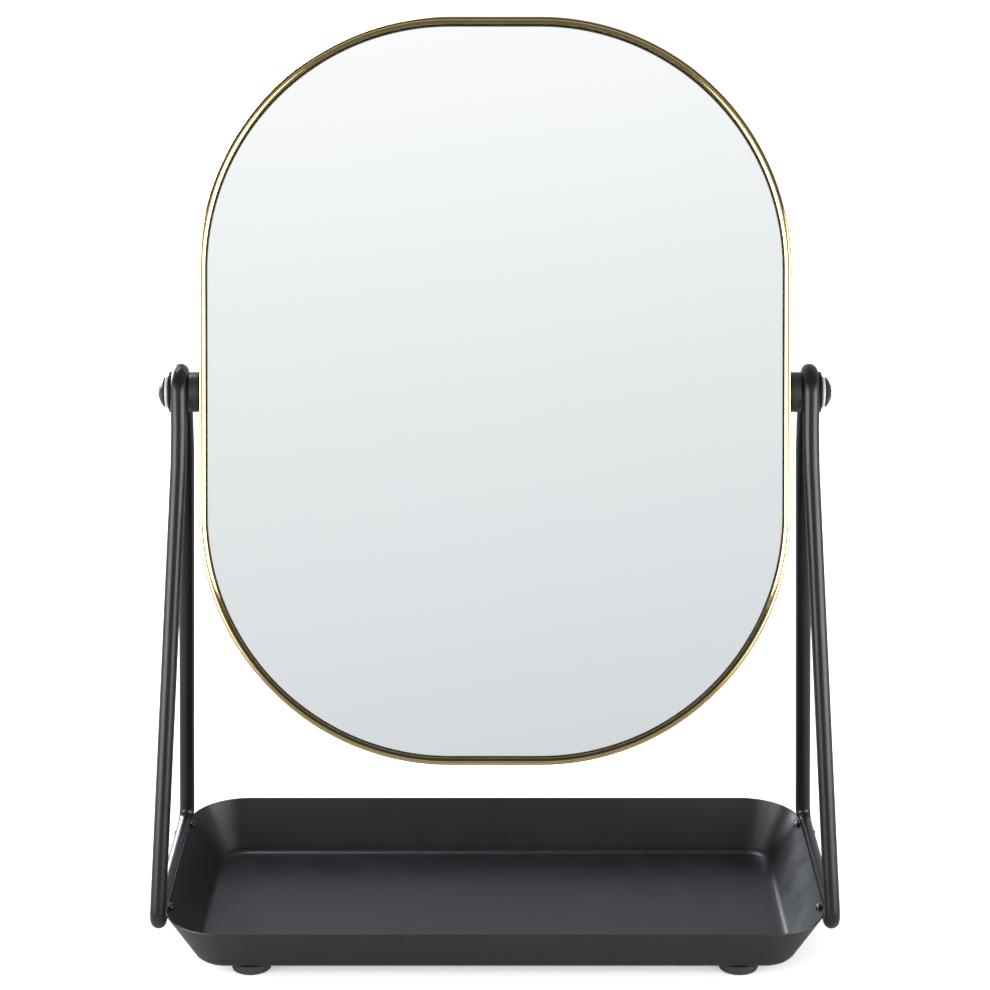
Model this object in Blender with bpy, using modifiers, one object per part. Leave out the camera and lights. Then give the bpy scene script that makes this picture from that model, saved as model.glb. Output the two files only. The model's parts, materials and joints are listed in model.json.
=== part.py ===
"""Countertop mirror: a tilting mirror hung between two wire side frames on a shallow tray.

Metres, +Z up. The glass faces -Y. The origin is on the surface that the pads rest on,
centred under the tray. The mirror turns about an X axis through its two pivot screws.
"""
import math

import bmesh
import bpy
from mathutils import Matrix, Vector

# ---- fits ------------------------------------------------------------------------------
TOUCH_GAP = 0.0002          # between faces that touch
BORE_CLEARANCE = 0.0003     # around a shank in its bore, on the radius

# ---- tray ------------------------------------------------------------------------------
TRAY_WIDTH = 0.2161         # across the rim, along X
TRAY_DEPTH = 0.108          # across the rim, along Y
TRAY_HEIGHT = 0.0167        # underside of the floor to the rim
TRAY_CORNER_RADIUS = 0.020  # in plan, at the rim
TRAY_FLARE = 0.0105         # how far each wall leans out over its height
TRAY_BEND_RADIUS = 0.005    # between wall and floor, outside
TRAY_SHEET = 0.001

# ---- pads under the tray ---------------------------------------------------------------
PAD_DIAMETER = 0.013
PAD_HEIGHT = 0.0029
PAD_EDGE = 0.0004
PAD_INSET_X = 0.028         # rim edge to the pad's centre
PAD_INSET_Y = 0.0175

# ---- wire side frames ------------------------------------------------------------------
WIRE_DIAMETER = 0.0052
EYE_RADIUS = 0.0066         # bend over the pivot screw, at the wire's centre line
FOOT_BEND_RADIUS = 0.0045   # bends between the legs and the bottom run, centre line
RUN_OVERHANG = 0.0035       # bottom run's straight part past the end of the tray's straight side
RUN_DROP = 0.0026           # the bottom run's centre line below the tray's rim
EYE_FLAT = 0.009            # upright stretch of the eye below the pivot axis
LEAN_BLEND = 0.015          # height over which the legs take up their sideways lean

# ---- rivets that hold the tray to the bottom runs --------------------------------------
RIVET_INSET = 0.005         # rivet's centre from the end of the bottom run's straight part
RIVET_SHANK = 0.0016
RIVET_HEAD = 0.003
RIVET_HEAD_HEIGHT = 0.0008
RIVET_TAIL = 0.0022
RIVET_TAIL_HEIGHT = 0.0007

# ---- mirror ----------------------------------------------------------------------------
MIRROR_WIDTH = 0.189
MIRROR_HEIGHT = 0.2385
MIRROR_CORNER_RADIUS = 0.080
MIRROR_TILT = math.radians(16.5)    # top leaning back from upright
SWING_CLEARANCE = 0.0466            # tray rim to the lowest point that the mirror sweeps
RIM_DEPTH = 0.0155
RIM_WALL = 0.001
NOSE_WIDTH = 0.0022         # rounded front edge of the rim
NOSE_DEPTH = 0.0025         # front of the rim to the glass seat
GLASS_THICKNESS = 0.002
GLASS_ARRIS = 0.0003
EDGE_PLAY = 0.0002          # between the rim's wall and each flat piece inside it
REAR_RECESS = 0.0008        # rear edge of the rim to the rear panel
REAR_PANEL_THICKNESS = 0.002
NOTCH_MARGIN = 0.0005       # round each boss, in the core board

# ---- pivots ----------------------------------------------------------------------------
SPACER_DIAMETER = 0.013
SPACER_LENGTH = 0.0034
SPACER_CHAMFER = 0.0005
CLAMP_WASHER_DIAMETER = 0.0132
CLAMP_WASHER_THICKNESS = 0.0009
FRICTION_WASHER_DIAMETER = 0.0102
FRICTION_WASHER_THICKNESS = 0.0009
SCREW_SHANK = 0.004
SCREW_HEAD = 0.0096
SCREW_HEAD_HEIGHT = 0.0023
SCREW_HEAD_EDGE = 0.0004
SCREW_TIP_CHAMFER = 0.0005
RECESS_SPAN = 0.0046
RECESS_WIDTH = 0.0009
RECESS_DEPTH = 0.0012
BOSS_DIAMETER = 0.0056
BOSS_LENGTH = 0.0045

# ---- facets ----------------------------------------------------------------------------
PLAN_CORNER_STEPS = 8       # tray corners
MIRROR_CORNER_STEPS = 14
ROUND_STEPS = 32
SMALL_ROUND_STEPS = 16
WIRE_RESOLUTION = 4
ARC_STEP = math.radians(12)
LEG_STEP = 0.012

# ---- places worked out from the sizes --------------------------------------------------
FLOOR_UNDERSIDE = PAD_HEIGHT + TOUCH_GAP
RIM_Z = FLOOR_UNDERSIDE + TRAY_HEIGHT
WALL_ANGLE = math.atan2(TRAY_FLARE, TRAY_HEIGHT)    # from upright
PIVOT_Z = RIM_Z + SWING_CLEARANCE + math.hypot(MIRROR_HEIGHT / 2, RIM_DEPTH / 2)
WIRE_RADIUS = WIRE_DIAMETER / 2

SPACER_X = MIRROR_WIDTH / 2 + TOUCH_GAP
EYE_X = SPACER_X + SPACER_LENGTH + TOUCH_GAP + WIRE_RADIUS
CLAMP_WASHER_X = EYE_X + WIRE_RADIUS + TOUCH_GAP
FRICTION_WASHER_X = CLAMP_WASHER_X + CLAMP_WASHER_THICKNESS + TOUCH_GAP
HEAD_X = FRICTION_WASHER_X + FRICTION_WASHER_THICKNESS + TOUCH_GAP
BOSS_X = MIRROR_WIDTH / 2 - RIM_WALL - TOUCH_GAP - BOSS_LENGTH
SHANK_BORE = SCREW_SHANK / 2 + BORE_CLEARANCE

RUN_Z = RIM_Z - RUN_DROP
RUN_X = (TRAY_WIDTH / 2 - RUN_DROP * math.tan(WALL_ANGLE)
         + (WIRE_RADIUS + TOUCH_GAP) / math.cos(WALL_ANGLE))
RUN_HALF = TRAY_DEPTH / 2 - TRAY_CORNER_RADIUS + RUN_OVERHANG
RIVET_Y = RUN_HALF - RIVET_INSET

PLATE_INSET = RIM_WALL + EDGE_PLAY
GLASS_FRONT = RIM_DEPTH / 2 - NOSE_DEPTH - TOUCH_GAP
CORE_FRONT = GLASS_FRONT - GLASS_THICKNESS - TOUCH_GAP
PANEL_FRONT = REAR_PANEL_THICKNESS + REAR_RECESS - RIM_DEPTH / 2
CORE_THICKNESS = CORE_FRONT - PANEL_FRONT - TOUCH_GAP


# ---- scene helpers ---------------------------------------------------------------------
def clear_scene():
    """Remove every object that the start-up file holds."""
    for item in list(bpy.data.objects):
        bpy.data.objects.remove(item, do_unlink=True)


def make_collection(name):
    """Add a collection to the scene."""
    made = bpy.data.collections.new(name)
    bpy.context.scene.collection.children.link(made)
    return made


def make_material(name, colour, roughness, metallic):
    """A Principled material with one finish."""
    made = bpy.data.materials.new(name)
    made.use_nodes = True
    shader = made.node_tree.nodes["Principled BSDF"]
    shader.inputs["Base Color"].default_value = (*colour, 1.0)
    shader.inputs["Roughness"].default_value = roughness
    shader.inputs["Metallic"].default_value = metallic
    made.diffuse_color = (*colour, 1.0)
    return made


def add_object(name, mesh, material, parent=None):
    """Put a mesh in the model's collection under its node name."""
    mesh.name = name
    made = bpy.data.objects.new(name, mesh)
    PARTS.objects.link(made)
    mesh.materials.append(material)
    made.parent = parent
    return made


def make_cutter(made, parent=None):
    """Move an object to the cutters and keep it out of the model."""
    for holder in list(made.users_collection):
        holder.objects.unlink(made)
    CUTTERS.objects.link(made)
    made.hide_render = True
    made.display_type = "WIRE"
    made.parent = parent
    return made


def cut(target, cutter):
    """Take the cutter's shape out of the target."""
    step = target.modifiers.new("cut_" + cutter.name, "BOOLEAN")
    step.operation = "DIFFERENCE"
    step.solver = "EXACT"
    step.object = cutter


def smooth_round(mesh):
    """Smooth shading that keeps the true edges sharp."""
    mesh.shade_smooth()
    mesh.set_sharp_from_angle(angle=math.radians(35))


# ---- shape helpers ---------------------------------------------------------------------
def arc(centre, radius, start, end, step=ARC_STEP):
    """Points of an arc in a plane, both ends included."""
    count = max(2, math.ceil(abs(end - start) / step))
    angles = [start + (end - start) * i / count for i in range(count + 1)]
    return [(centre[0] + radius * math.cos(a), centre[1] + radius * math.sin(a))
            for a in angles]


def rounded_rectangle(width, height, radius, corner_steps):
    """Outline of a rounded rectangle about the origin, anticlockwise."""
    right, top = width / 2 - radius, height / 2 - radius
    centres = ((right, top), (-right, top), (-right, -top), (right, -top))
    outline = []
    for quarter, centre in enumerate(centres):
        start = quarter * math.pi / 2
        outline += arc(centre, radius, start, start + math.pi / 2, math.pi / 2 / corner_steps)
    return outline


def loft(rings, material, name):
    """Open skin through a row of rings of equal count, the first ring closed by a face."""
    mesh = bpy.data.meshes.new(name)
    builder = bmesh.new()
    loops = [[builder.verts.new(point) for point in ring] for ring in rings]
    builder.faces.new(list(reversed(loops[0])))
    for lower, upper in zip(loops, loops[1:]):
        for i in range(len(lower)):
            j = (i + 1) % len(lower)
            builder.faces.new((lower[i], lower[j], upper[j], upper[i]))
    builder.to_mesh(mesh)
    builder.free()
    smooth_round(mesh)
    return add_object(name, mesh, material)


def closed_curve(name, points):
    """A closed curve of straight stretches through (x, y, z) points."""
    curve = bpy.data.curves.new(name, "CURVE")
    curve.dimensions = "3D"
    spline = curve.splines.new("POLY")
    spline.points.add(len(points) - 1)
    for place, point in zip(spline.points, points):
        place.co = (*point, 1.0)
    spline.use_cyclic_u = True
    made = bpy.data.objects.new(name, curve)
    PARTS.objects.link(made)
    return made


def curve_to_mesh(name, drawn, material, parent=None):
    """Turn a swept curve into a mesh object of its own, which can be drilled."""
    evaluated = drawn.evaluated_get(bpy.context.evaluated_depsgraph_get())
    mesh = bpy.data.meshes.new_from_object(evaluated)
    builder = bmesh.new()
    builder.from_mesh(mesh)
    bmesh.ops.remove_doubles(builder, verts=builder.verts, dist=1e-6)
    bmesh.ops.recalc_face_normals(builder, faces=builder.faces)
    builder.to_mesh(mesh)
    builder.free()
    smooth_round(mesh)
    made = add_object(name, mesh, material, parent)
    made.matrix_local = drawn.matrix_world
    bpy.data.objects.remove(drawn, do_unlink=True)
    return made


def turned(name, profile, material, steps=ROUND_STEPS, closed=False, parent=None):
    """A turned piece about its local Z from a profile of (radius, height) points.

    The profile runs down its outer side, top to bottom; closed makes a bored ring.
    """
    mesh = bpy.data.meshes.new(name)
    edges = [(i, i + 1) for i in range(len(profile) - 1)]
    if closed:
        edges.append((len(profile) - 1, 0))
    mesh.from_pydata([(radius, 0, height) for radius, height in profile], edges, [])
    made = add_object(name, mesh, material, parent)
    screw = made.modifiers.new("turn", "SCREW")
    screw.axis = "Z"
    screw.angle = 2 * math.pi
    screw.steps = steps
    screw.render_steps = steps
    screw.use_merge_vertices = True
    screw.merge_threshold = 1e-6
    screw.use_smooth_shade = True
    return made


def bored_disc(outer, bore, length, chamfer=0.0):
    """Closed profile of a washer or bush that stands on its base."""
    profile = [(outer - chamfer, length), (outer, length - chamfer), (outer, chamfer)]
    profile += [(outer - chamfer, 0), (bore, 0), (bore, length)]
    return profile if chamfer else [(outer, length), (outer, 0), (bore, 0), (bore, length)]


def box(name, size, centre, material, parent=None):
    """A block from a cube primitive."""
    mesh = bpy.data.meshes.new(name)
    builder = bmesh.new()
    bmesh.ops.create_cube(builder, size=1.0, matrix=Matrix.Diagonal((*size, 1.0)))
    builder.to_mesh(mesh)
    builder.free()
    made = add_object(name, mesh, material, parent)
    made.location = centre
    return made


def rod(name, radius, length, material, parent=None, steps=SMALL_ROUND_STEPS):
    """A plain cylinder about its local Z, centred on its origin."""
    mesh = bpy.data.meshes.new(name)
    builder = bmesh.new()
    bmesh.ops.create_cone(builder, cap_ends=True, segments=steps, radius1=radius,
                          radius2=radius, depth=length)
    builder.to_mesh(mesh)
    builder.free()
    return add_object(name, mesh, material, parent)


# ---- tray ------------------------------------------------------------------------------
def tray_section():
    """(inset, z) points of the tray's outer skin, rim to flat floor."""
    turn = math.pi / 2 - WALL_ANGLE
    tangent = TRAY_BEND_RADIUS * math.tan(turn / 2)
    centre = (TRAY_FLARE + tangent, FLOOR_UNDERSIDE + TRAY_BEND_RADIUS)
    bend = arc(centre, TRAY_BEND_RADIUS, math.pi + WALL_ANGLE, 1.5 * math.pi)
    return [(0.0, RIM_Z)] + bend


def make_tray():
    """Pressed sheet tray: one open skin, thickened inwards."""
    rings = []
    for inset, z in tray_section():
        outline = rounded_rectangle(TRAY_WIDTH - 2 * inset, TRAY_DEPTH - 2 * inset,
                                    TRAY_CORNER_RADIUS - inset, PLAN_CORNER_STEPS)
        rings.append([(x, y, z) for x, y in outline])
    tray = loft(rings[::-1], BLACK_STEEL, "tray")
    sheet = tray.modifiers.new("sheet", "SOLIDIFY")
    sheet.thickness = TRAY_SHEET
    sheet.offset = -1.0
    sheet.use_even_offset = True
    return tray


def make_pads():
    """Four pads near the corners of the floor."""
    radius = PAD_DIAMETER / 2
    profile = [(0, PAD_HEIGHT), (radius, PAD_HEIGHT), (radius, PAD_EDGE)]
    profile += [(radius - PAD_EDGE, 0), (0, 0)]
    for depth_name, y_side in (("front", -1), ("rear", 1)):
        for side_name, x_side in SIDES:
            pad = turned(f"pad_{depth_name}_{side_name}", profile, RUBBER)
            pad.location = (x_side * (TRAY_WIDTH / 2 - PAD_INSET_X),
                            y_side * (TRAY_DEPTH / 2 - PAD_INSET_Y), 0)


# ---- wire frames -----------------------------------------------------------------------
def frame_lean(z):
    """Distance of the wire's centre line from the middle plane at a height."""
    flat_end = PIVOT_Z - EYE_FLAT
    drop = max(0.0, flat_end - z)
    full_drop = flat_end - RUN_Z
    slope = (RUN_X - EYE_X) / (full_drop - LEAN_BLEND / 2)
    if drop < LEAN_BLEND:
        return EYE_X + slope * drop * drop / (2 * LEAN_BLEND)
    return EYE_X + slope * (drop - LEAN_BLEND / 2)


def frame_path():
    """Closed (y, z) centre line: eye, front leg, bottom run, rear leg."""
    rise = PIVOT_Z - RUN_Z - FOOT_BEND_RADIUS
    reach = math.hypot(RUN_HALF, rise)
    splay = math.atan2(RUN_HALF, rise) + math.asin((FOOT_BEND_RADIUS - EYE_RADIUS) / reach)
    eye = arc((0, PIVOT_Z), EYE_RADIUS, splay, math.pi - splay)
    front = arc((-RUN_HALF, RUN_Z + FOOT_BEND_RADIUS), FOOT_BEND_RADIUS,
                math.pi - splay, 1.5 * math.pi)
    rear = [(-y, z) for y, z in reversed(front)]
    return eye + straight(eye[-1], front[0]) + front + rear + straight(rear[-1], eye[0])


def straight(start, end):
    """Points between two places, neither end included."""
    count = max(2, math.ceil(math.dist(start, end) / LEG_STEP))
    return [(start[0] + (end[0] - start[0]) * i / count,
             start[1] + (end[1] - start[1]) * i / count) for i in range(1, count)]


def make_wire_frame(side_name, x_side):
    """One closed loop of round wire."""
    drawn = closed_curve("wire_path", [(x_side * frame_lean(z), y, z) for y, z in frame_path()])
    drawn.data.bevel_depth = WIRE_RADIUS
    drawn.data.bevel_resolution = WIRE_RESOLUTION
    return curve_to_mesh(f"wire_frame_{side_name}", drawn, BLACK_STEEL)


# ---- rivets ----------------------------------------------------------------------------
def rivet_profile():
    """Tail at the top (outside the wire), domed head at the bottom (inside the tray)."""
    shank, head, tail = RIVET_SHANK / 2, RIVET_HEAD / 2, RIVET_TAIL / 2
    tail_foot = WIRE_RADIUS + TOUCH_GAP
    head_face = -(WIRE_RADIUS + TRAY_SHEET + 2 * TOUCH_GAP)
    dome = [(head * math.cos(a), head_face - RIVET_HEAD_HEIGHT * math.sin(a))
            for a in (0, math.pi / 6, math.pi / 3)]
    profile = [(0, tail_foot + RIVET_TAIL_HEIGHT), (tail * 0.7, tail_foot + RIVET_TAIL_HEIGHT)]
    profile += [(tail, tail_foot + RIVET_TAIL_HEIGHT / 2), (tail, tail_foot)]
    profile += [(shank, tail_foot), (shank, head_face)]
    return profile + dome + [(0, head_face - RIVET_HEAD_HEIGHT)]


def make_rivets(tray, frames):
    """Rivets square to the tray's side walls, through the wall and the bottom run."""
    for depth_name, y_side in (("front", -1), ("rear", 1)):
        for side_name, x_side in SIDES:
            place = (x_side * RUN_X, y_side * RIVET_Y, RUN_Z)
            turn = (0, x_side * (math.pi / 2 + WALL_ANGLE), 0)
            name = f"tray_rivet_{depth_name}_{side_name}"
            rivet = turned(name, rivet_profile(), BLACK_STEEL, SMALL_ROUND_STEPS)
            rivet.location = place
            rivet.rotation_euler = turn
            drill = rod("drill_" + name, RIVET_SHANK / 2 + BORE_CLEARANCE,
                        2 * (WIRE_DIAMETER + TRAY_SHEET), BLACK_STEEL)
            drill.location = place
            drill.rotation_euler = turn
            make_cutter(drill)
            cut(tray, drill)
            cut(frames[side_name], drill)


# ---- mirror ----------------------------------------------------------------------------
def mirror_outline(inset):
    """(x, z) points of the mirror's outline, inset from the rim's outer side."""
    return rounded_rectangle(MIRROR_WIDTH - 2 * inset, MIRROR_HEIGHT - 2 * inset,
                             MIRROR_CORNER_RADIUS - inset, MIRROR_CORNER_STEPS)


def plate(name, front, thickness, material, arris=0.0):
    """A flat piece that fills the rim, its face at a distance in front of the pivot axis."""
    mesh = bpy.data.meshes.new(name)
    builder = bmesh.new()
    builder.faces.new([builder.verts.new((x, -front, z)) for x, z in mirror_outline(PLATE_INSET)])
    builder.to_mesh(mesh)
    builder.free()
    made = add_object(name, mesh, material, TILT)
    body = made.modifiers.new("thickness", "SOLIDIFY")
    body.thickness = thickness
    body.offset = -1.0
    if arris:
        edge = made.modifiers.new("arris", "BEVEL")
        edge.width = arris
        edge.limit_method = "ANGLE"
        edge.angle_limit = math.radians(60)
    return made


def rim_section():
    """Closed (inset, forward) section: a thin wall with a half-round nose at the front."""
    half, nose = RIM_DEPTH / 2, NOSE_WIDTH / 2
    section = [(RIM_WALL, half - NOSE_DEPTH)]
    section += arc((RIM_WALL / 2, RIM_WALL / 2 - half), RIM_WALL / 2, 0, -math.pi,
                   math.radians(60))
    section += arc((nose, half - nose), nose, math.pi, 0, math.radians(22.5))
    return section + [(NOSE_WIDTH, half - NOSE_DEPTH)]


def make_rim():
    """The gold band round the mirror, swept along the outline and drilled for the pivots."""
    path = closed_curve("rim_path", [(x, z, 0) for x, z in mirror_outline(0)])
    path.data.dimensions = "2D"
    section = closed_curve("rim_section", [(inset, forward, 0)
                                           for inset, forward in rim_section()])
    path.data.bevel_mode = "OBJECT"
    path.data.bevel_object = section
    path.rotation_euler = (math.pi / 2, 0, 0)
    bpy.context.view_layer.update()
    rim = curve_to_mesh("mirror_rim", path, GOLD, TILT)
    bpy.data.objects.remove(section, do_unlink=True)
    for side_name, x_side in SIDES:
        drill = rod(f"pivot_drill_{side_name}", SHANK_BORE, 4 * RIM_WALL, GOLD, steps=ROUND_STEPS)
        drill.location = (x_side * (MIRROR_WIDTH / 2 - RIM_WALL / 2), 0, 0)
        drill.rotation_euler = (0, math.pi / 2, 0)
        cut(rim, make_cutter(drill, TILT))


def make_core():
    """Board between the glass and the rear panel, notched round the bosses."""
    core = plate("core_board", CORE_FRONT, CORE_THICKNESS, BOARD)
    reach = RIM_WALL + TOUCH_GAP + BOSS_LENGTH + NOTCH_MARGIN
    height = BOSS_DIAMETER + 2 * NOTCH_MARGIN
    for side_name, x_side in SIDES:
        notch = box(f"boss_notch_{side_name}", (2 * reach, 2 * RIM_DEPTH, height),
                    (x_side * MIRROR_WIDTH / 2, 0, 0), BOARD)
        cut(core, make_cutter(notch, TILT))


# ---- pivots ----------------------------------------------------------------------------
def screw_profile():
    """Low domed head and shank; the origin is at the underside of the head."""
    head, shank = SCREW_HEAD / 2, SCREW_SHANK / 2
    cap = SCREW_HEAD_HEIGHT - SCREW_HEAD_EDGE
    ball = (head * head + cap * cap) / (2 * cap)
    spread = math.asin(head / ball)
    dome = [(ball * math.sin(spread * i / 4),
             SCREW_HEAD_HEIGHT - ball + ball * math.cos(spread * i / 4)) for i in range(5)]
    tip = BOSS_X - HEAD_X + SCREW_TIP_CHAMFER
    return dome + [(head, 0), (shank, 0), (shank, tip + SCREW_TIP_CHAMFER),
                   (shank - SCREW_TIP_CHAMFER, tip), (0, tip)]


def make_pivot(side_name, x_side):
    """Stack of one pivot along X: boss, spacer, washers and screw."""
    outward = (0, x_side * math.pi / 2, 0)
    stack = (
        ("pivot_boss", bored_disc(BOSS_DIAMETER / 2, SHANK_BORE, BOSS_LENGTH), BOSS_X, ZINC,
         TILT),
        ("spacer", bored_disc(SPACER_DIAMETER / 2, SHANK_BORE, SPACER_LENGTH, SPACER_CHAMFER),
         SPACER_X, BLACK_STEEL, TILT),
        ("clamp_washer", bored_disc(CLAMP_WASHER_DIAMETER / 2, SHANK_BORE,
                                    CLAMP_WASHER_THICKNESS), CLAMP_WASHER_X, BLACK_STEEL,
         STAND_PIVOT),
        ("friction_washer", bored_disc(FRICTION_WASHER_DIAMETER / 2, SHANK_BORE,
                                       FRICTION_WASHER_THICKNESS), FRICTION_WASHER_X, NYLON,
         TILT),
    )
    for name, profile, x, material, parent in stack:
        piece = turned(f"{name}_{side_name}", profile, material, closed=True, parent=parent)
        piece.location = (x_side * x, 0, 0)
        piece.rotation_euler = outward
    screw = turned(f"pivot_screw_{side_name}", screw_profile(), BLACK_STEEL, parent=TILT)
    screw.location = (x_side * HEAD_X, 0, 0)
    screw.rotation_euler = outward
    for index, size in enumerate(((RECESS_SPAN, RECESS_WIDTH), (RECESS_WIDTH, RECESS_SPAN))):
        slot = box(f"recess_{side_name}_{index}", (2 * RECESS_DEPTH, *size),
                   (x_side * (HEAD_X + SCREW_HEAD_HEIGHT), 0, 0), BLACK_STEEL)
        cut(screw, make_cutter(slot, TILT))


def make_empty(name, turn=0.0):
    """An empty on the pivot axis."""
    made = bpy.data.objects.new(name, None)
    made.empty_display_size = 0.02
    PARTS.objects.link(made)
    made.location = Vector((0, 0, PIVOT_Z))
    made.rotation_euler = (turn, 0, 0)
    return made


clear_scene()
PARTS = make_collection("countertop_mirror")
CUTTERS = make_collection("cutters")
BLACK_STEEL = make_material("black_steel", (0.022, 0.022, 0.025), 0.42, 0.0)
RUBBER = make_material("rubber", (0.02, 0.02, 0.02), 0.85, 0.0)
GOLD = make_material("gold", (0.72, 0.56, 0.27), 0.18, 1.0)
SILVERED_GLASS = make_material("silvered_glass", (0.90, 0.92, 0.93), 0.03, 1.0)
BLACK_PLASTIC = make_material("black_plastic", (0.025, 0.025, 0.028), 0.6, 0.0)
BOARD = make_material("board", (0.45, 0.36, 0.26), 0.9, 0.0)
NYLON = make_material("nylon", (0.55, 0.55, 0.58), 0.45, 0.0)
ZINC = make_material("zinc", (0.62, 0.63, 0.65), 0.35, 1.0)
SIDES = (("left", -1), ("right", 1))

TILT = make_empty("mirror_pivot", -MIRROR_TILT)
STAND_PIVOT = make_empty("stand_pivot")

the_tray = make_tray()
make_pads()
the_frames = {side_name: make_wire_frame(side_name, x_side) for side_name, x_side in SIDES}
make_rivets(the_tray, the_frames)
make_rim()
plate("mirror_glass", GLASS_FRONT, GLASS_THICKNESS, SILVERED_GLASS, GLASS_ARRIS)
make_core()
plate("rear_panel", PANEL_FRONT, REAR_PANEL_THICKNESS, BLACK_PLASTIC, GLASS_ARRIS)
for side, sign in SIDES:
    make_pivot(side, sign)
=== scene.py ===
import json
import math

import bmesh
import bpy
from mathutils import Matrix, Vector


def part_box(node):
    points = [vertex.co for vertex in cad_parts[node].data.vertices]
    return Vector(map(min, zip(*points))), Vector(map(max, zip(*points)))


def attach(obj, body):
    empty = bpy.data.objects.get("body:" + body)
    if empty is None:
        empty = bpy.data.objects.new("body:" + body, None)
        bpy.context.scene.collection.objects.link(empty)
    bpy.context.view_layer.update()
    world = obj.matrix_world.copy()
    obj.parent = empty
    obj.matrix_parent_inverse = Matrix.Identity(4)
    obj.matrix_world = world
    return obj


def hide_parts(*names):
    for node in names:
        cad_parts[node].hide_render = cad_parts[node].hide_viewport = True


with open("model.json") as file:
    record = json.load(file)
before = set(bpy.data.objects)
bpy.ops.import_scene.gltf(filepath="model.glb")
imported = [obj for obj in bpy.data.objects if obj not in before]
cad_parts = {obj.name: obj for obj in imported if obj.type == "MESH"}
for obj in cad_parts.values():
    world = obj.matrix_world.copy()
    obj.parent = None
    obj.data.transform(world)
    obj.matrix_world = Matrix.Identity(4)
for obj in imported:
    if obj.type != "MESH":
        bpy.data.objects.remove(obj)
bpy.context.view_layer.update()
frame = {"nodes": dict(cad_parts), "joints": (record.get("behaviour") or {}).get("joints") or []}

# The looks of the countertop mirror. Metres, with x to the right, y to the rear and z up.
SIDES = {"left": -1, "right": 1}
CORNERS = {"front_left": (-1, -1), "front_right": (1, -1),
           "rear_left": (-1, 1), "rear_right": (1, 1)}

# ---- places and sizes of the CAD model ---------------------------------------------------
PIVOT = Vector(frame["joints"][0]["pos_m"])
TILT = math.radians(16.5)
GAP = 0.0002
MIRROR_WIDTH = 0.189
MIRROR_HEIGHT = 0.2385
MIRROR_CORNER = 0.080
RIM_DEPTH = 0.0155
RIM_WALL = 0.001
PLATE_INSET = 0.0012
GLASS_FRONT = 0.00505           # in front of the pivot axis, as is PANEL_FRONT
GLASS_THICKNESS = 0.002
PANEL_FRONT = -0.00495
PANEL_THICKNESS = 0.002
TRAY_WIDTH = 0.2161
TRAY_DEPTH = 0.108
TRAY_CORNER = 0.020
TRAY_FLARE = 0.0105
TRAY_BEND = 0.005
TRAY_SHEET = 0.001
TRAY_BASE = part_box("tray")[0].z
TRAY_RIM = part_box("tray")[1].z
WALL_ANGLE = math.atan2(TRAY_FLARE, TRAY_RIM - TRAY_BASE)
WIRE_RADIUS = 0.0026
EYE_RADIUS = 0.0066             # to the wire's centre line, as are all places of the wire
EYE_FLAT = 0.009                # the wire starts to lean this far below the pivot
EYE_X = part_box("wire_frame_right")[0].x + WIRE_RADIUS
LEAN_BLEND = 0.015
FOOT_BEND = 0.0045
RUN_HALF = 0.0375
RUN_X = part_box("wire_frame_right")[1].x - WIRE_RADIUS
RUN_DROP = 0.0026
RUN_Z = TRAY_RIM - RUN_DROP
RIVET_INSET = 0.005
RIVET_Y = RUN_HALF - RIVET_INSET
RIVET_SHANK = 0.0008            # radius, as are the head and the tail
RIVET_HEAD = 0.0015
RIVET_TAIL = 0.0011
RIVET_HEAD_HEIGHT = 0.0008
RIVET_TAIL_HEIGHT = 0.0007
SCREW_HEAD = 0.0048             # radius, as is the shank
SCREW_HEAD_HEIGHT = 0.0023
SCREW_SHANK = 0.002
RECESS_DEPTH = 0.0016
PIVOT_BORE = 0.0023             # radius in the washers and spacers

# ---- finer shapes, which the CAD model leaves plain --------------------------------------
NOSE_WIDTH = 0.0022
NOSE_DEPTH = 0.0025
NOSE_SEAM = 0.0004              # from the nose's rounded part to where the band begins
NOSE_LIP = 0.0003               # radius of the nose's inner edge
NOSE_SLOPE = 0.0008             # fall from the rim's front to the centre of that edge
PAINTED_SHADE_DEPTH = 0.0006            # the inner wall's painted shade starts this far behind the front
# the painted shade also takes faces lying this close outside the inner wall
PAINTED_SHADE_REACH = 0.0002
GLASS_ARRIS = 0.0003
PANEL_ARRIS = 0.0004
TRAY_EASE = 0.00025
PAD_EDGE = 0.0003
PAD_ROLL = 0.0006
HEAD_LIP = 0.0004
RECESS_ARM = 0.0024
RECESS_BLADE = 0.00045
CROSS_TURN = math.radians(24)
MIRROR_PLACE = Matrix.Translation(PIVOT) @ Matrix.Rotation(-TILT, 4, "X")

# ---- colours: the two tones that each finish drifts between ------------------------------
TRAY_BLACK = ((0.0060, 0.0060, 0.0075), (0.0085, 0.0085, 0.0105))
WIRE_BLACK = ((0.0060, 0.0060, 0.0070), (0.0085, 0.0085, 0.0098))
RUBBER_BLACK = ((0.014, 0.014, 0.014), (0.022, 0.022, 0.022))
BACK_BLACK = ((0.014, 0.014, 0.016), (0.021, 0.021, 0.023))
BUSH_BLACK = ((0.016, 0.016, 0.016), (0.024, 0.024, 0.024))
SCREW_BLACK = ((0.030, 0.030, 0.032), (0.075, 0.075, 0.080))
NYLON_GREY = ((0.42, 0.42, 0.44), (0.50, 0.50, 0.52))
POLISHED_GOLD = ((0.80, 0.61, 0.27), (0.86, 0.68, 0.33))
BRUSHED_GOLD = ((0.78, 0.59, 0.27), (0.84, 0.66, 0.32))
# painted shade: a dark copy of the gold for the rim's inner wall, where shade falls
PAINTED_SHADE_GOLD = ((0.15, 0.112, 0.034), (0.19, 0.142, 0.045))
ZINC_GREY = ((0.50, 0.51, 0.53), (0.66, 0.67, 0.69))
BOARD_BROWN = ((0.30, 0.22, 0.14), (0.48, 0.38, 0.26))
GLASS_CLEAR = ((0.975, 0.99, 0.985), (0.98, 0.992, 0.99))
SILVER_GREY = ((0.925, 0.935, 0.94), (0.935, 0.945, 0.95))
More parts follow.
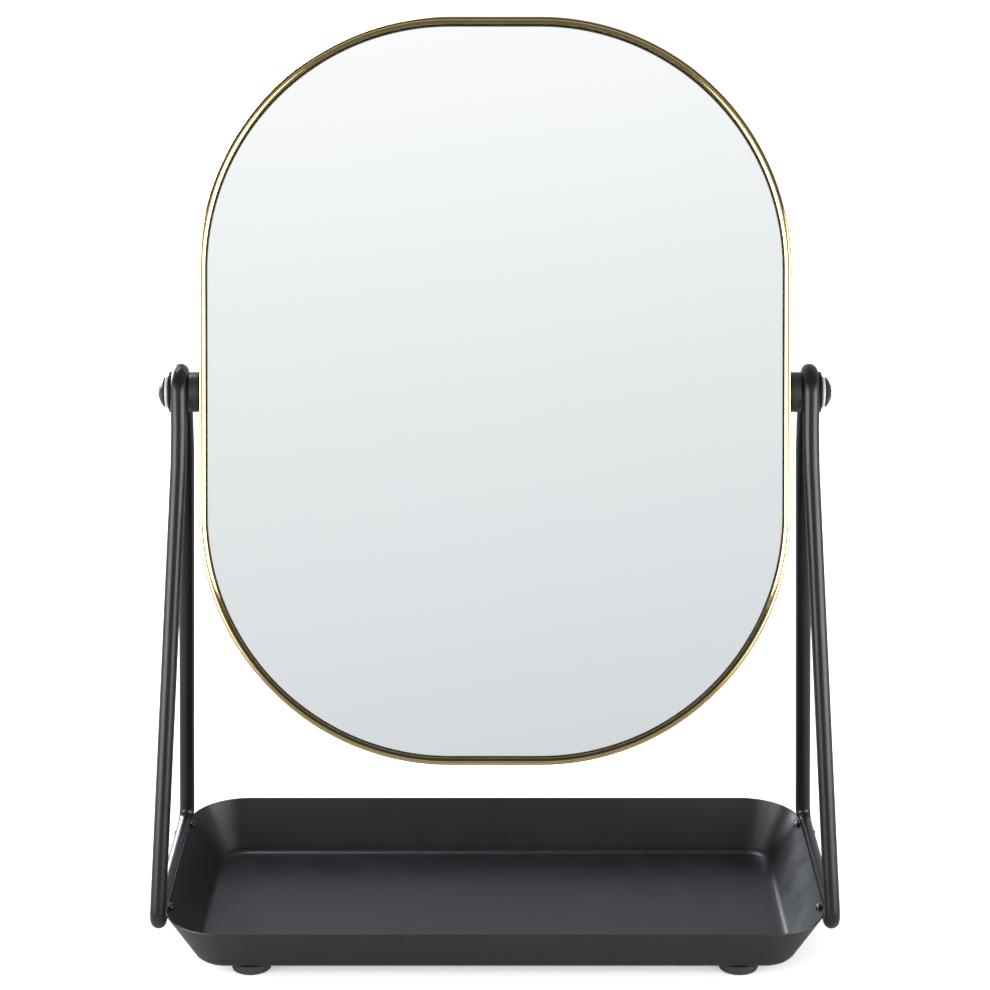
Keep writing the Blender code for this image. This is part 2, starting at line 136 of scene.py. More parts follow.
FLOOR_WHITE = ((0.90, 0.90, 0.90), (0.93, 0.93, 0.93))

# ---- studio ------------------------------------------------------------------------------
CAMERA_PLACE = (0.0, -0.8076, 0.4031)
CAMERA_PITCH = math.radians(72.68)
CAMERA_SENSOR = 36.0            # millimetres, as is the lens
CAMERA_LENS = 94.55
CAMERA_REACH = 20
FLOOR_HALF = 8.0
FLOOR_GLOW = 0.35               # lifts the floor to white for the camera only
FLOOR_IN_METAL = (0.07, 0.42)   # its tones in front and behind, as polished metal sees it
FLOOR_TURN = (-0.25, -0.05)     # the y places between which it goes from one to the other
PLAIN_WHITE = (1, 1, 1)
SOFT_BOXES = (                  # name, place, aim, size, radiance, colour
    ("left_box", (-1.20, -0.65, 0.32), (0, 0, 0.15), (1.3, 0.8), 4.2, PLAIN_WHITE),
    ("right_box", (1.20, -0.65, 0.32), (0, 0, 0.15), (1.3, 0.8), 3.8, PLAIN_WHITE),
    ("rear_box", (-1.00, 1.20, 0.42), (0, 0, 0.02), (0.9, 0.6), 15.0, (0.86, 0.93, 1.0)),
    ("top_box", (-0.40, 0.60, 1.10), (0, 0.04, 0.01), (0.6, 0.30), 7.0, (0.88, 0.94, 1.0)),
    ("band_left_box", (-1.20, -0.30, 0.50), (0, 0, 0.15), (1.6, 1.4), 0.95, PLAIN_WHITE),
    ("band_right_box", (1.20, -0.30, 0.50), (0, 0, 0.15), (1.6, 1.4), 0.95, PLAIN_WHITE),
    ("band_rear_box", (0.0, 1.20, 0.70), (0, 0, 0.15), (1.6, 1.0), 0.80, PLAIN_WHITE),
    ("low_right_box", (0.55, -0.42, 0.03), (0, 0, 0.30), (0.7, 0.7), 4.0, PLAIN_WHITE),
    ("low_left_box", (-0.55, -0.42, 0.03), (0, 0, 0.30), (0.6, 0.7), 3.4, PLAIN_WHITE),
)
ROOM_IN_GLASS = (               # from level to straight up
    (0.0, (0.58, 0.60, 0.62)), (0.17, (0.73, 0.75, 0.77)), (0.31, (0.88, 0.90, 0.91)),
    (0.44, (1.08, 1.07, 1.07)), (1.0, (1.15, 1.14, 1.14)),
)
ROOM_IN_GLASS_LEAN = -0.15      # the grade falls a little towards the right
ROOM_IN_METAL = (               # from the front to the rear
    (0.0, (0.05, 0.05, 0.05)), (0.45, (0.05, 0.05, 0.05)), (0.62, (0.27, 0.28, 0.32)),
    (0.80, (0.52, 0.53, 0.60)), (1.0, (0.58, 0.58, 0.66)),
)
CARD_WAY = (0, -0.955, 0.297)   # a pale card in front, seen in metal only
CARD_EDGE = (0.88, 0.96)        # cosines of the angles from CARD_WAY where it begins and is full
CARD_STRENGTH = 0.55


# ---- meshes ------------------------------------------------------------------------------
def add_piece(name, mesh, material, body, node, place=Matrix()):
    """A finished piece in its place, which stands for a CAD node and rides on its body."""
    mesh.materials.append(material)
    made = bpy.data.objects.new(name, mesh)
    bpy.context.scene.collection.objects.link(made)
    made.matrix_world = place
    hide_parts(node)
    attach(made, body)
    return made


def finish_mesh(name, builder, sharp):
    """Mesh from a bmesh, shaded smooth with its true edges kept."""
    mesh = bpy.data.meshes.new(name)
    bmesh.ops.recalc_face_normals(builder, faces=builder.faces)
    builder.to_mesh(mesh)
    builder.free()
    mesh.shade_smooth()
    mesh.set_sharp_from_angle(angle=math.radians(sharp))
    return mesh


def baked_mesh(drawn):
    """Mesh of an object as its curve or modifiers make it; the object itself goes."""
    bpy.context.view_layer.update()
    depsgraph = bpy.context.evaluated_depsgraph_get()
    mesh = bpy.data.meshes.new_from_object(drawn.evaluated_get(depsgraph))
    bpy.data.objects.remove(drawn)
    mesh.materials.clear()
    mesh.shade_smooth()
    return mesh


def arc(centre, radius, start, end, count):
    """Points of an arc, both ends included, angles in degrees."""
    angles = [math.radians(start + (end - start) * i / count) for i in range(count + 1)]
    return [(centre[0] + radius * math.cos(a), centre[1] + radius * math.sin(a)) for a in angles]


def straight(start, end, count=14):
    """Points between two places, neither end included."""
    return [(start[0] + (end[0] - start[0]) * i / count,
             start[1] + (end[1] - start[1]) * i / count) for i in range(1, count)]


def rounded_rectangle(width, height, radius, count):
    """Outline of a rounded rectangle about the origin, anticlockwise."""
    right, top = width / 2 - radius, height / 2 - radius
    outline = []
    for quarter, centre in enumerate(((right, top), (-right, top), (-right, -top), (right, -top))):
        outline += arc(centre, radius, 90 * quarter, 90 * quarter + 90, count)
    return outline


def eased(points, radius, count=3):
    """A closed profile with every corner rounded."""
    out = []
    for i, (x, y) in enumerate(points):
        here = Vector((x, y))
        back = (Vector(points[i - 1]) - here).normalized()
        ahead = (Vector(points[(i + 1) % len(points)]) - here).normalized()
        start, end = here + back * radius, here + ahead * radius
        for k in range(count + 1):
            t = k / count
            out.append(tuple(start * (1 - t) ** 2 + here * 2 * t * (1 - t) + end * t * t))
    return out


def skin(name, rings, closed=False, caps=False, sharp=35):
    """Loft through rings of equal count; sharp is in degrees."""
    builder = bmesh.new()
    loops = [[builder.verts.new(point) for point in ring] for ring in rings]
    pairs = list(zip(loops, loops[1:]))
    if closed:
        pairs.append((loops[-1], loops[0]))
    for lower, upper in pairs:
        for i in range(len(lower)):
            j = (i + 1) % len(lower)
            builder.faces.new((lower[i], lower[j], upper[j], upper[i]))
    if caps:
        builder.faces.new(loops[0])
        builder.faces.new(loops[-1])
    return finish_mesh(name, builder, sharp)


def lathe(name, profile, steps=48, closed=False, sharp=35):
    """Turned piece about local Z from (radius, height) points; sharp is in degrees."""
    builder = bmesh.new()
    rings = []
    for radius, height in profile:
        if radius < 1e-7:
            rings.append([builder.verts.new((0, 0, height))])
            continue
        rings.append([builder.verts.new((radius * math.cos(2 * math.pi * i / steps),
                                         radius * math.sin(2 * math.pi * i / steps), height))
                      for i in range(steps)])
    pairs = list(zip(rings, rings[1:]))
    if closed:
        pairs.append((rings[-1], rings[0]))
    for lower, upper in pairs:
        for i in range(steps):
            j = (i + 1) % steps
            corner = [lower[i % len(lower)], lower[j % len(lower)],
                      upper[j % len(upper)], upper[i % len(upper)]]
            builder.faces.new([v for n, v in enumerate(corner) if v not in corner[:n]])
    return finish_mesh(name, builder, sharp)


# ---- materials ---------------------------------------------------------------------------
class Shading:
    """A node tree and the value nodes that the finishes and the world share."""

    def __init__(self, tree):
        self.nodes, self.links = tree.nodes, tree.links

    def span(self, value, low, high, start=0.3, end=0.7):
        """Map a value onto a range."""
        made = self.nodes.new("ShaderNodeMapRange")
        made.inputs["From Min"].default_value = start
        made.inputs["From Max"].default_value = end
        made.inputs["To Min"].default_value = low
        made.inputs["To Max"].default_value = high
        self.links.new(value, made.inputs["Value"])
        return made.outputs["Result"]

    def ramp(self, value, *stops):
        """Colour ramp through (position, colour) stops."""
        made = self.nodes.new("ShaderNodeValToRGB")
        ramp = made.color_ramp
        while len(ramp.elements) < len(stops):
            ramp.elements.new(0.5)
        for element, (position, colour) in zip(ramp.elements, stops):
            element.position = position
            element.color = (*colour, 1.0)
        self.links.new(value, made.inputs["Fac"])
        return made.outputs["Color"]

    def split(self, vector):
        """The x, y and z outputs of a vector."""
        made = self.nodes.new("ShaderNodeSeparateXYZ")
        self.links.new(vector, made.inputs["Vector"])
        return made.outputs


class Finish(Shading):
    """A Principled material with noise-driven colour, roughness and bump."""

    def __init__(self, name, **sockets):
        self.material = bpy.data.materials.new(name)
        self.material.use_nodes = True
        super().__init__(self.material.node_tree)
        self.shader = self.nodes["Principled BSDF"]
        for socket, value in sockets.items():
            self.shader.inputs[socket.replace("_", " ")].default_value = value
        self.place = self.nodes.new("ShaderNodeTexCoord").outputs["Object"]

    def noise(self, scale, detail, stretch=None):
        """Noise value in object metres."""
        made = self.nodes.new("ShaderNodeTexNoise")
        made.inputs["Scale"].default_value = scale
        made.inputs["Detail"].default_value = detail
        made.inputs["Roughness"].default_value = 0.55
        source = self.place
        if stretch:
            mapping = self.nodes.new("ShaderNodeMapping")
            mapping.inputs["Scale"].default_value = stretch
            self.links.new(source, mapping.inputs["Vector"])
            source = mapping.outputs["Vector"]
        self.links.new(source, made.inputs["Vector"])
        return made.outputs["Fac"]

    def drive(self, socket, value):
        """Link a value to a shader socket."""
        self.links.new(value, self.shader.inputs[socket])

    def tint(self, noise, tones, start=0.3, end=0.7):
        """Colour that drifts between two tones."""
        self.drive("Base Color", self.ramp(noise, (start, tones[0]), (end, tones[1])))

    def sheen(self, noise, low, high):
        """Roughness that drifts between two values."""
        self.drive("Roughness", self.span(noise, low, high))

    def bump(self, *layers):
        """Stack of (value, height in metres) bumps."""
        normal = None
        for value, height in layers:
            made = self.nodes.new("ShaderNodeBump")
            made.inputs["Strength"].default_value = 1.0
            made.inputs["Distance"].default_value = height
            self.links.new(value, made.inputs["Height"])
            if normal:
                self.links.new(normal, made.inputs["Normal"])
            normal = made.outputs["Normal"]
        self.links.new(normal, self.shader.inputs["Normal"])


def powder_coat(name, tones, low, high, gloss):
    """Satin black powder coat with a fine orange peel."""
    made = Finish(name, Specular_IOR_Level=gloss)
    made.tint(made.noise(45, 4), tones)
    made.sheen(made.noise(120, 4), low, high)
    made.bump((made.noise(1400, 2), 0.000006), (made.noise(260, 2), 0.00001))
    return made.material


def gold(name, tones, low, high):
    """Gold plate with faint draw lines and handling haze."""
    made = Finish(name, Metallic=1.0)
    made.tint(made.noise(60, 3), tones)
    made.sheen(made.noise(300, 4), low, high)
    made.bump((made.noise(900, 2, stretch=(1, 0.12, 1)), 0.0000012))
    return made.material


def plastic(name, tones, low, high, grain, height):
    """Moulded plastic or rubber with a fine grain."""
    made = Finish(name)
    made.tint(made.noise(90, 4), tones)
    made.sheen(made.noise(400, 3), low, high)
    made.bump((made.noise(grain, 3), height))
    return made.material


def black_screw():
    """Blackened steel, slightly worn."""
    made = Finish("black_oxide", Metallic=0.85)
    made.tint(made.noise(500, 4), SCREW_BLACK, 0.35, 0.75)
    made.sheen(made.noise(900, 3), 0.26, 0.42)
    made.bump((made.noise(2500, 2), 0.000002))
    return made.material


def zinc():
    """Zinc plated steel."""
    made = Finish("zinc_plate", Metallic=1.0)
    made.tint(made.noise(400, 4), ZINC_GREY)
    made.sheen(made.noise(700, 3), 0.25, 0.45)
    return made.material


def fibreboard():
    """Bare fibreboard."""
    made = Finish("fibreboard")
    made.tint(made.noise(900, 5, stretch=(1, 6, 1)), BOARD_BROWN)
    made.sheen(made.noise(600, 3), 0.8, 0.95)
    made.bump((made.noise(1500, 4), 0.00005))
    return made.material


def clear_glass():
    """Clear float glass with the faintest drift of tint."""
    made = Finish("clear_glass", Transmission_Weight=1.0, IOR=1.5, Specular_IOR_Level=0.0,
                  Roughness=0.0)
    made.tint(made.noise(8, 2), GLASS_CLEAR)
    return made.material


def silver():
    """Silver coat behind the glass."""
    made = Finish("silver_coat", Metallic=1.0, Roughness=0.0)
    made.tint(made.noise(5, 2), SILVER_GREY)
    return made.material


# ---- mirror ------------------------------------------------------------------------------
def mirror_ring(inset, forward, count=40):
    """The mirror's outline at an inset and a distance in front of the pivot axis."""
    outline = rounded_rectangle(MIRROR_WIDTH - 2 * inset, MIRROR_HEIGHT - 2 * inset,
                                MIRROR_CORNER - inset, count)
    return [(x, -forward, z) for x, z in outline]


def outline_inset(place):
    """How far a place lies inside the mirror's outline."""
    beyond_x = max(abs(place.x) - (MIRROR_WIDTH / 2 - MIRROR_CORNER), 0)
    beyond_z = max(abs(place.z) - (MIRROR_HEIGHT / 2 - MIRROR_CORNER), 0)
    return MIRROR_CORNER - math.hypot(beyond_x, beyond_z)


def make_rim_part(name, section, material):
    """Part of the rim from a closed section of (inset, forward) points."""
    rings = [mirror_ring(inset, forward) for inset, forward in section]
    return add_piece(name, skin(name, rings, closed=True), material, "mirror", "mirror_rim",
                     MIRROR_PLACE)


def make_rim_band(material):
    """The rim's outer wall, round at the back."""
    half, fold = RIM_DEPTH / 2, RIM_WALL / 2
    section = [(RIM_WALL, half - NOSE_DEPTH)]
    section += arc((fold, fold - half), fold, 0, -180, 8)
    section += [(0, half - NOSE_WIDTH / 2 - NOSE_SEAM)]
    return make_rim_part("rim_band", section, material)


def make_rim_nose(polished, shaded):
    """The rim's front, rounded outside, with a slope down to an inner wall in dark gold, painted
    shade.
    """
    half, nose = RIM_DEPTH / 2, NOSE_WIDTH / 2
    section = [(RIM_WALL, half - NOSE_DEPTH), (0, half - nose - NOSE_SEAM)]
    section += arc((nose, half - nose), nose, 180, 80, 16)
    section += arc((NOSE_WIDTH - NOSE_LIP, half - NOSE_SLOPE), NOSE_LIP, 58, 0, 6)
    section += [(NOSE_WIDTH, half - NOSE_DEPTH)]
    mesh = make_rim_part("rim_nose", section, polished).data
    mesh.materials.append(shaded)
    # Faces deep on the inner wall take the dark gold: painted shade.
    for face in mesh.polygons:
        deep = max(mesh.vertices[i].co.y for i in face.vertices) > PAINTED_SHADE_DEPTH - half
        inner = outline_inset(face.center) > NOSE_WIDTH - PAINTED_SHADE_REACH
        if deep and inner:
            face.material_index = 1


def make_plate(name, node, front, thickness, arris, material):
    """Flat plate with a fine arris all round."""
    back = front - thickness
    steps = [(arris, front), (0, front - arris), (0, back + arris), (arris, back)]
    rings = [mirror_ring(PLATE_INSET + inset, forward) for inset, forward in steps]
    mesh = skin(name, rings, caps=True, sharp=20)
    return add_piece(name, mesh, material, "mirror", node, MIRROR_PLACE)


def make_glass(clear, coat):
    """Glass plate whose back face carries the silver."""
    plate = make_plate("silvered_glass", "mirror_glass", GLASS_FRONT, GLASS_THICKNESS,
                       GLASS_ARRIS, clear)
    plate.data.materials.append(coat)
    back = max(plate.data.polygons, key=lambda face: face.center.y + face.area)
    back.material_index = 1
    return plate


# ---- tray --------------------------------------------------------------------------------
def make_tray(material):
    """Pressed tray with rounded bends and a softened rim edge."""
    wall = math.degrees(WALL_ANGLE)
    tangent = TRAY_BEND * math.tan(math.radians((90 - wall) / 2))
    centre = (TRAY_FLARE + tangent, TRAY_BASE + TRAY_BEND)
    outer = arc(centre, TRAY_BEND, 270, 180 + wall, 12)
    inner = arc(centre, TRAY_BEND - TRAY_SHEET, 180 + wall, 270, 12)
    sheet = TRAY_SHEET / math.cos(WALL_ANGLE)
    lip = [(0.48 * TRAY_EASE, TRAY_RIM - TRAY_EASE), (TRAY_EASE, TRAY_RIM),
           (sheet - 2.4 * TRAY_EASE, TRAY_RIM),
           (sheet - 2 * TRAY_EASE, TRAY_RIM - 1.2 * TRAY_EASE)]
    rings = []
    for inset, z in outer + lip + inner:
        outline = rounded_rectangle(TRAY_WIDTH - 2 * inset, TRAY_DEPTH - 2 * inset,
                                    TRAY_CORNER - inset, 24)
        rings.append([(x, y, z) for x, y in outline])
    add_piece("tray_shell", skin("tray_shell", rings, caps=True, sharp=50), material, "stand",
              "tray")


def make_pads(material):
    """Round pads with rolled edges."""
    for corner in CORNERS:
        node = f"pad_{corner}"
        low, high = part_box(node)
        radius, height = (high.x - low.x) / 2, high.z - low.z
        profile = [(0, height), (radius - PAD_EDGE, height), (radius, height - PAD_EDGE)]
        profile += arc((radius - PAD_ROLL, PAD_ROLL), PAD_ROLL, 0, -90, 5) + [(0, 0)]
        place = Matrix.Translation(((low.x + high.x) / 2, (low.y + high.y) / 2, low.z))
        add_piece(f"rubber_{node}", lathe(node, profile), material, "stand", node, place)


# ---- wire frames -------------------------------------------------------------------------
def frame_lean(z):
    """Distance of the wire's centre line from the middle plane at a height."""
    flat_end = PIVOT.z - EYE_FLAT
    drop = max(0.0, flat_end - z)
    slope = (RUN_X - EYE_X) / (flat_end - RUN_Z - LEAN_BLEND / 2)
    if drop < LEAN_BLEND:
        return EYE_X + slope * drop * drop / (2 * LEAN_BLEND)
    return EYE_X + slope * (drop - LEAN_BLEND / 2)


def wire_path():
    """The wire's closed loop of (y, z) points: eye, front leg, bottom run and rear leg."""
    rise = PIVOT.z - RUN_Z - FOOT_BEND
    reach = math.hypot(RUN_HALF, rise)
    splay = math.degrees(math.atan2(RUN_HALF, rise) + math.asin((FOOT_BEND - EYE_RADIUS) / reach))
    eye = arc((0, PIVOT.z), EYE_RADIUS, splay, 180 - splay, 32)
    front = arc((-RUN_HALF, RUN_Z + FOOT_BEND), FOOT_BEND, 180 - splay, 270, 16)
    rear = [(-y, z) for y, z in reversed(front)]
    return eye + straight(eye[-1], front[0]) + front + rear + straight(rear[-1], eye[0])


def make_wire_frames(material):
    """Closed loops of round wire."""
    path = wire_path()
    for side, x_side in SIDES.items():
        curve = bpy.data.curves.new(f"wire_{side}", "CURVE")
        curve.dimensions = "3D"
        curve.bevel_depth = WIRE_RADIUS
        curve.bevel_resolution = 8
        spline = curve.splines.new("POLY")
        spline.points.add(len(path) - 1)
        for place, (y, z) in zip(spline.points, path):
            place.co = (x_side * frame_lean(z), y, z, 1.0)
        spline.use_cyclic_u = True
        drawn = bpy.data.objects.new(f"wire_{side}", curve)
        bpy.context.scene.collection.objects.link(drawn)
        add_piece(f"bent_wire_{side}", baked_mesh(drawn), material, "stand", f"wire_frame_{side}")


def make_rivets(material):
    """Small rivets through the tray's side walls and the bottom runs."""
    foot = WIRE_RADIUS + GAP
    top = foot + RIVET_TAIL_HEIGHT
    face = -(WIRE_RADIUS + TRAY_SHEET + 2 * GAP)
    profile = [(0, top), (0.6 * RIVET_TAIL, top), (0.9 * RIVET_TAIL, top - 0.00015),
               (RIVET_TAIL, top - 0.0004), (RIVET_TAIL, foot), (RIVET_SHANK, foot),
               (RIVET_SHANK, face)]
    profile += [(RIVET_HEAD * math.cos(math.radians(a)),
                 face - RIVET_HEAD_HEIGHT * math.sin(math.radians(a))) for a in range(0, 90, 10)]
    profile += [(0, face - RIVET_HEAD_HEIGHT)]
    for corner, (x_side, y_side) in CORNERS.items():
        node = f"tray_rivet_{corner}"
        place = Matrix.Translation((x_side * RUN_X, y_side * RIVET_Y, RUN_Z))
        turn = Matrix.Rotation(x_side * (math.pi / 2 + WALL_ANGLE), 4, "Y")
        add_piece(f"domed_{node}", lathe(node, profile, 28), material, "stand", node,
                  place @ turn)


# ---- pivots ------------------------------------------------------------------------------
def cross_cutter():
    """Tapered cross for the screw recess, its mouth at z = 0."""
    arm, blade = RECESS_ARM, RECESS_BLADE
    outline = [(arm, -blade), (arm, blade), (blade, blade), (blade, arm), (-blade, arm),
               (-blade, blade), (-arm, blade), (-arm, -blade), (-blade, -blade),
               (-blade, -arm), (blade, -arm), (blade, -blade)]
    levels = (                  # height, then scales of the arms and of the blades in x and y
        (0.001, 1.12, 1.12, 1.0),
        (0.0, 1.0, 1.0, 1.0),
        (-0.6 * RECESS_DEPTH, 0.66, 0.66, 1.0),
        (-RECESS_DEPTH, 0.30, 0.70, 0.70),
    )
    rings = [[(x * (tip if abs(x) > blade else side_x), y * (tip if abs(y) > blade else side_y), z)
              for x, y in outline] for z, tip, side_x, side_y in levels]
    made = bpy.data.objects.new("cross", skin("cross", rings, caps=True, sharp=20))
    bpy.context.scene.collection.objects.link(made)
    return made


def screw_mesh(name):
    """Domed head with a cross recess, on a plain shank; origin under the head."""
    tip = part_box("pivot_screw_right")[0].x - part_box("friction_washer_right")[1].x - GAP
    crown = SCREW_HEAD_HEIGHT - HEAD_LIP
    ball = (SCREW_HEAD ** 2 + crown ** 2) / (2 * crown)
    spread = math.degrees(math.asin(SCREW_HEAD / ball))
    dome = arc((0, SCREW_HEAD_HEIGHT - ball), ball, 90, 90 - spread, 14)
    under = [(SCREW_HEAD + 0.00002, 0.6 * HEAD_LIP), (SCREW_HEAD - 0.00012, 0.00004),
             (SCREW_HEAD - 0.0003, 0)]
    shank = [(SCREW_SHANK, 0), (SCREW_SHANK, tip + 0.0005), (SCREW_SHANK - 0.0005, tip), (0, tip)]
    body = bpy.data.objects.new(name, lathe(name, dome + under + shank, 64))
    bpy.context.scene.collection.objects.link(body)
    cutter = cross_cutter()
    cutter.location.z = SCREW_HEAD_HEIGHT
    step = body.modifiers.new("recess", "BOOLEAN")
    step.operation = "DIFFERENCE"
    step.solver = "EXACT"
    step.object = cutter
    mesh = baked_mesh(body)
    bpy.data.objects.remove(cutter)
    mesh.set_sharp_from_angle(angle=math.radians(32))
    return mesh


def make_pivots(screw, nylon, washer, bush):
    """Screw, washers and spacer on each side."""
    rings = (                   # name, material, rounding of the edges, body
        ("spacer", bush, 0.0004, "mirror"),
        ("clamp_washer", washer, 0.00022, "stand"),
        ("friction_washer", nylon, 0.00025, "mirror"),
    )
    for side, x_side in SIDES.items():
        turn = Matrix.Rotation(x_side * math.pi / 2, 4, "Y")
        for name, material, edge, body in rings:
            node = f"{name}_{side}"
            low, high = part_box(node)
            outer, length = (high.y - low.y) / 2, high.x - low.x
            start = low.x if x_side > 0 else high.x
            profile = eased([(outer, 0), (outer, length), (PIVOT_BORE, length), (PIVOT_BORE, 0)],
                            edge)
            add_piece(f"turned_{node}", lathe(node, profile, 56, closed=True), material, body,
                      node, Matrix.Translation((start, 0, PIVOT.z)) @ turn)
        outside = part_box(f"friction_washer_{side}")[1 if x_side > 0 else 0].x
        place = Matrix.Translation((outside + x_side * GAP, 0, PIVOT.z))
        tilt = Matrix.Rotation(-TILT, 4, "X")
        spin = Matrix.Rotation(CROSS_TURN, 4, "Z")
        add_piece(f"cross_screw_{side}", screw_mesh(f"screw_{side}"), screw, "mirror",
                  f"pivot_screw_{side}", place @ tilt @ turn @ spin)


# ---- studio ------------------------------------------------------------------------------
def make_camera():
    """Long lens in front, above the mirror's middle, pitched down."""
    data = bpy.data.cameras.new("camera")
    data.sensor_width = CAMERA_SENSOR
    data.lens = CAMERA_LENS
    data.clip_end = CAMERA_REACH
    made = bpy.data.objects.new("camera", data)
    made.location = CAMERA_PLACE
    made.rotation_euler = (CAMERA_PITCH, 0, 0)
    bpy.context.scene.collection.objects.link(made)
    bpy.context.scene.camera = made


def floor_paper():
    """White paper, but dark in front and mid grey behind in polished metal."""
    paper = Finish("floor_paper", Roughness=0.95, Emission_Color=(1, 1, 1, 1))
    white = paper.ramp(paper.noise(3, 2), (0.3, FLOOR_WHITE[0]), (0.7, FLOOR_WHITE[1]))
    depth = paper.split(paper.place)["Y"]
    rays = paper.nodes.new("ShaderNodeLightPath").outputs
    in_metal = paper.nodes.new("ShaderNodeMath")
    in_metal.operation = "SUBTRACT"
    in_metal.use_clamp = True
    paper.links.new(rays["Is Glossy Ray"], in_metal.inputs[0])
    paper.links.new(rays["Is Transmission Ray"], in_metal.inputs[1])
    tone = paper.nodes.new("ShaderNodeMix")
    tone.data_type = "RGBA"
    paper.links.new(in_metal.outputs["Value"], tone.inputs["Factor"])
    paper.links.new(white, tone.inputs["A"])
    paper.links.new(paper.span(depth, *FLOOR_IN_METAL, *FLOOR_TURN), tone.inputs["B"])
    paper.drive("Base Color", tone.outputs["Result"])
    paper.drive("Emission Strength", paper.span(rays["Is Camera Ray"], 0, FLOOR_GLOW, 0, 1))
    return paper.material


def make_floor():
    """Plain pale floor."""
    half = FLOOR_HALF
    mesh = bpy.data.meshes.new("floor")
    mesh.from_pydata([(-half, -half, 0), (half, -half, 0), (half, half, 0), (-half, half, 0)], [],
                     [(0, 1, 2, 3)])
    mesh.materials.append(floor_paper())
    made = bpy.data.objects.new("floor", mesh)
    bpy.context.scene.collection.objects.link(made)


def soft_box(name, place, aim, size, radiance, colour):
    """A rectangular soft box of a given brightness."""
    data = bpy.data.lights.new(name, "AREA")
    data.color = colour
    data.shape = "RECTANGLE"
    data.size, data.size_y = size
    data.energy = radiance * math.pi * size[0] * size[1]
    made = bpy.data.objects.new(name, data)
    made.location = place
    made.rotation_euler = (Vector(aim) - Vector(place)).to_track_quat("-Z", "Y").to_euler()
    made.visible_transmission = False
    made.visible_camera = False
    bpy.context.scene.collection.objects.link(made)
    return made


def link_lights(name, state, pieces, lights):
    """Let lights reach only these pieces, or all but these."""
    group = bpy.data.collections.new(name)
    for piece in pieces:
        group.objects.link(piece)
    for member in group.collection_objects:
        member.light_linking.link_state = state
    for light in lights:
        light.light_linking.receiver_collection = group


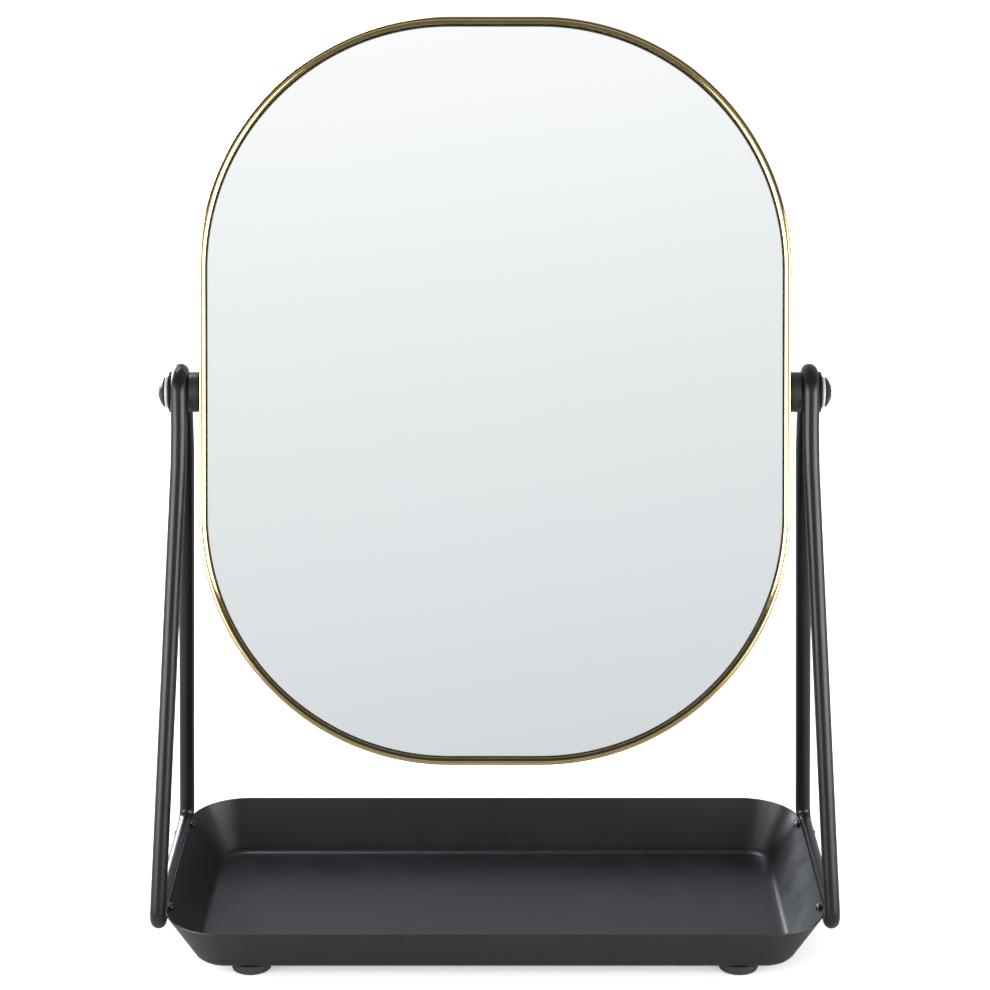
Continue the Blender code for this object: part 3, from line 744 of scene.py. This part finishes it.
class World(Shading):
    """White surround for the eye and the floor, darker in polished metal, graded in glass."""

    def __init__(self):
        world = bpy.data.worlds.new("world")
        bpy.context.scene.world = world
        world.use_nodes = True
        super().__init__(world.node_tree)
        self.way = self.nodes.new("ShaderNodeTexCoord").outputs["Generated"]
        self.rays = self.nodes.new("ShaderNodeLightPath").outputs
        white = self.nodes["Background"]
        white.inputs["Color"].default_value = (1, 1, 1, 1)
        white.inputs["Strength"].default_value = 1.0
        shader = self.by_ray("Is Glossy Ray", white.outputs["Background"], self.in_metal())
        shader = self.by_ray("Is Transmission Ray", shader, self.in_glass())
        self.links.new(shader, self.nodes["World Output"].inputs["Surface"])

    def by_ray(self, kind, usual, special):
        """One shader for rays of a kind, another for all the rest."""
        made = self.nodes.new("ShaderNodeMixShader")
        self.links.new(self.rays[kind], made.inputs["Fac"])
        self.links.new(usual, made.inputs[1])
        self.links.new(special, made.inputs[2])
        return made.outputs["Shader"]

    def background(self, socket, value):
        """Background whose colour or strength comes from a value."""
        made = self.nodes.new("ShaderNodeBackground")
        self.links.new(value, made.inputs[socket])
        return made.outputs["Background"]

    def in_glass(self):
        """Grade by height, with a slight lean to one side."""
        axes = self.split(self.way)
        height = self.nodes.new("ShaderNodeMath")
        height.operation = "MULTIPLY_ADD"
        height.inputs[1].default_value = ROOM_IN_GLASS_LEAN
        self.links.new(axes["X"], height.inputs[0])
        self.links.new(axes["Z"], height.inputs[2])
        return self.background("Color", self.ramp(height.outputs["Value"], *ROOM_IN_GLASS))

    def in_metal(self):
        """Grade from front to rear, and the front card."""
        depth = self.span(self.split(self.way)["Y"], 0, 1, -1, 1)
        facing = self.nodes.new("ShaderNodeVectorMath")
        facing.operation = "DOT_PRODUCT"
        facing.inputs[1].default_value = CARD_WAY
        self.links.new(self.way, facing.inputs[0])
        card = self.span(facing.outputs["Value"], 0, CARD_STRENGTH, *CARD_EDGE)
        made = self.nodes.new("ShaderNodeAddShader")
        self.links.new(self.background("Color", self.ramp(depth, *ROOM_IN_METAL)), made.inputs[0])
        self.links.new(self.background("Strength", card), made.inputs[1])
        return made.outputs["Shader"]


# ---- build -------------------------------------------------------------------------------
make_camera()
make_floor()
World()
boxes = [soft_box(*row) for row in SOFT_BOXES]
bpy.context.scene.view_settings.view_transform = "Standard"

tray_coat = powder_coat("tray_coat", TRAY_BLACK, 0.30, 0.38, 0.5)
wire_coat = powder_coat("wire_coat", WIRE_BLACK, 0.26, 0.34, 0.4)
make_tray(tray_coat)
make_wire_frames(wire_coat)
make_rivets(wire_coat)
make_pads(plastic("pad_rubber", RUBBER_BLACK, 0.65, 0.85, 1800, 0.00003))

gold_plate = gold("gold_plate", POLISHED_GOLD, 0.07, 0.13)
# The dark copy of the gold is painted shade for the rim's inner wall.
painted_shade_gold = gold("painted_shade_gold", PAINTED_SHADE_GOLD, 0.45, 0.6)
rim_band = make_rim_band(gold("brushed_gold", BRUSHED_GOLD, 0.20, 0.28))
make_rim_nose(gold_plate, painted_shade_gold)
mirror_plate = make_glass(clear_glass(), silver())
make_plate("back_cover", "rear_panel", PANEL_FRONT, PANEL_THICKNESS, PANEL_ARRIS,
           plastic("back_plastic", BACK_BLACK, 0.5, 0.65, 1600, 0.00003))
make_pivots(black_screw(), plastic("nylon", NYLON_GREY, 0.35, 0.5, 1500, 0.00001), wire_coat,
            plastic("bush_plastic", BUSH_BLACK, 0.3, 0.42, 1500, 0.00001))

# The glass and the rim's outer wall stay clear of the soft boxes' hard outlines. The wall has its
# own, weaker boxes.
band_boxes = [light for light in boxes if light.name.startswith("band_")]
link_lights("no_hard_boxes", "EXCLUDE", [mirror_plate, rim_band],
            [light for light in boxes if light not in band_boxes])
link_lights("band_only", "INCLUDE", [rim_band], band_boxes)

# CAD nodes that stay as they are, inside the mirror
inside = {"core_board": fibreboard(), "pivot_boss_left": zinc(), "pivot_boss_right": zinc()}
for node, material in inside.items():
    frame["nodes"][node].data.materials.clear()
    frame["nodes"][node].data.materials.append(material)
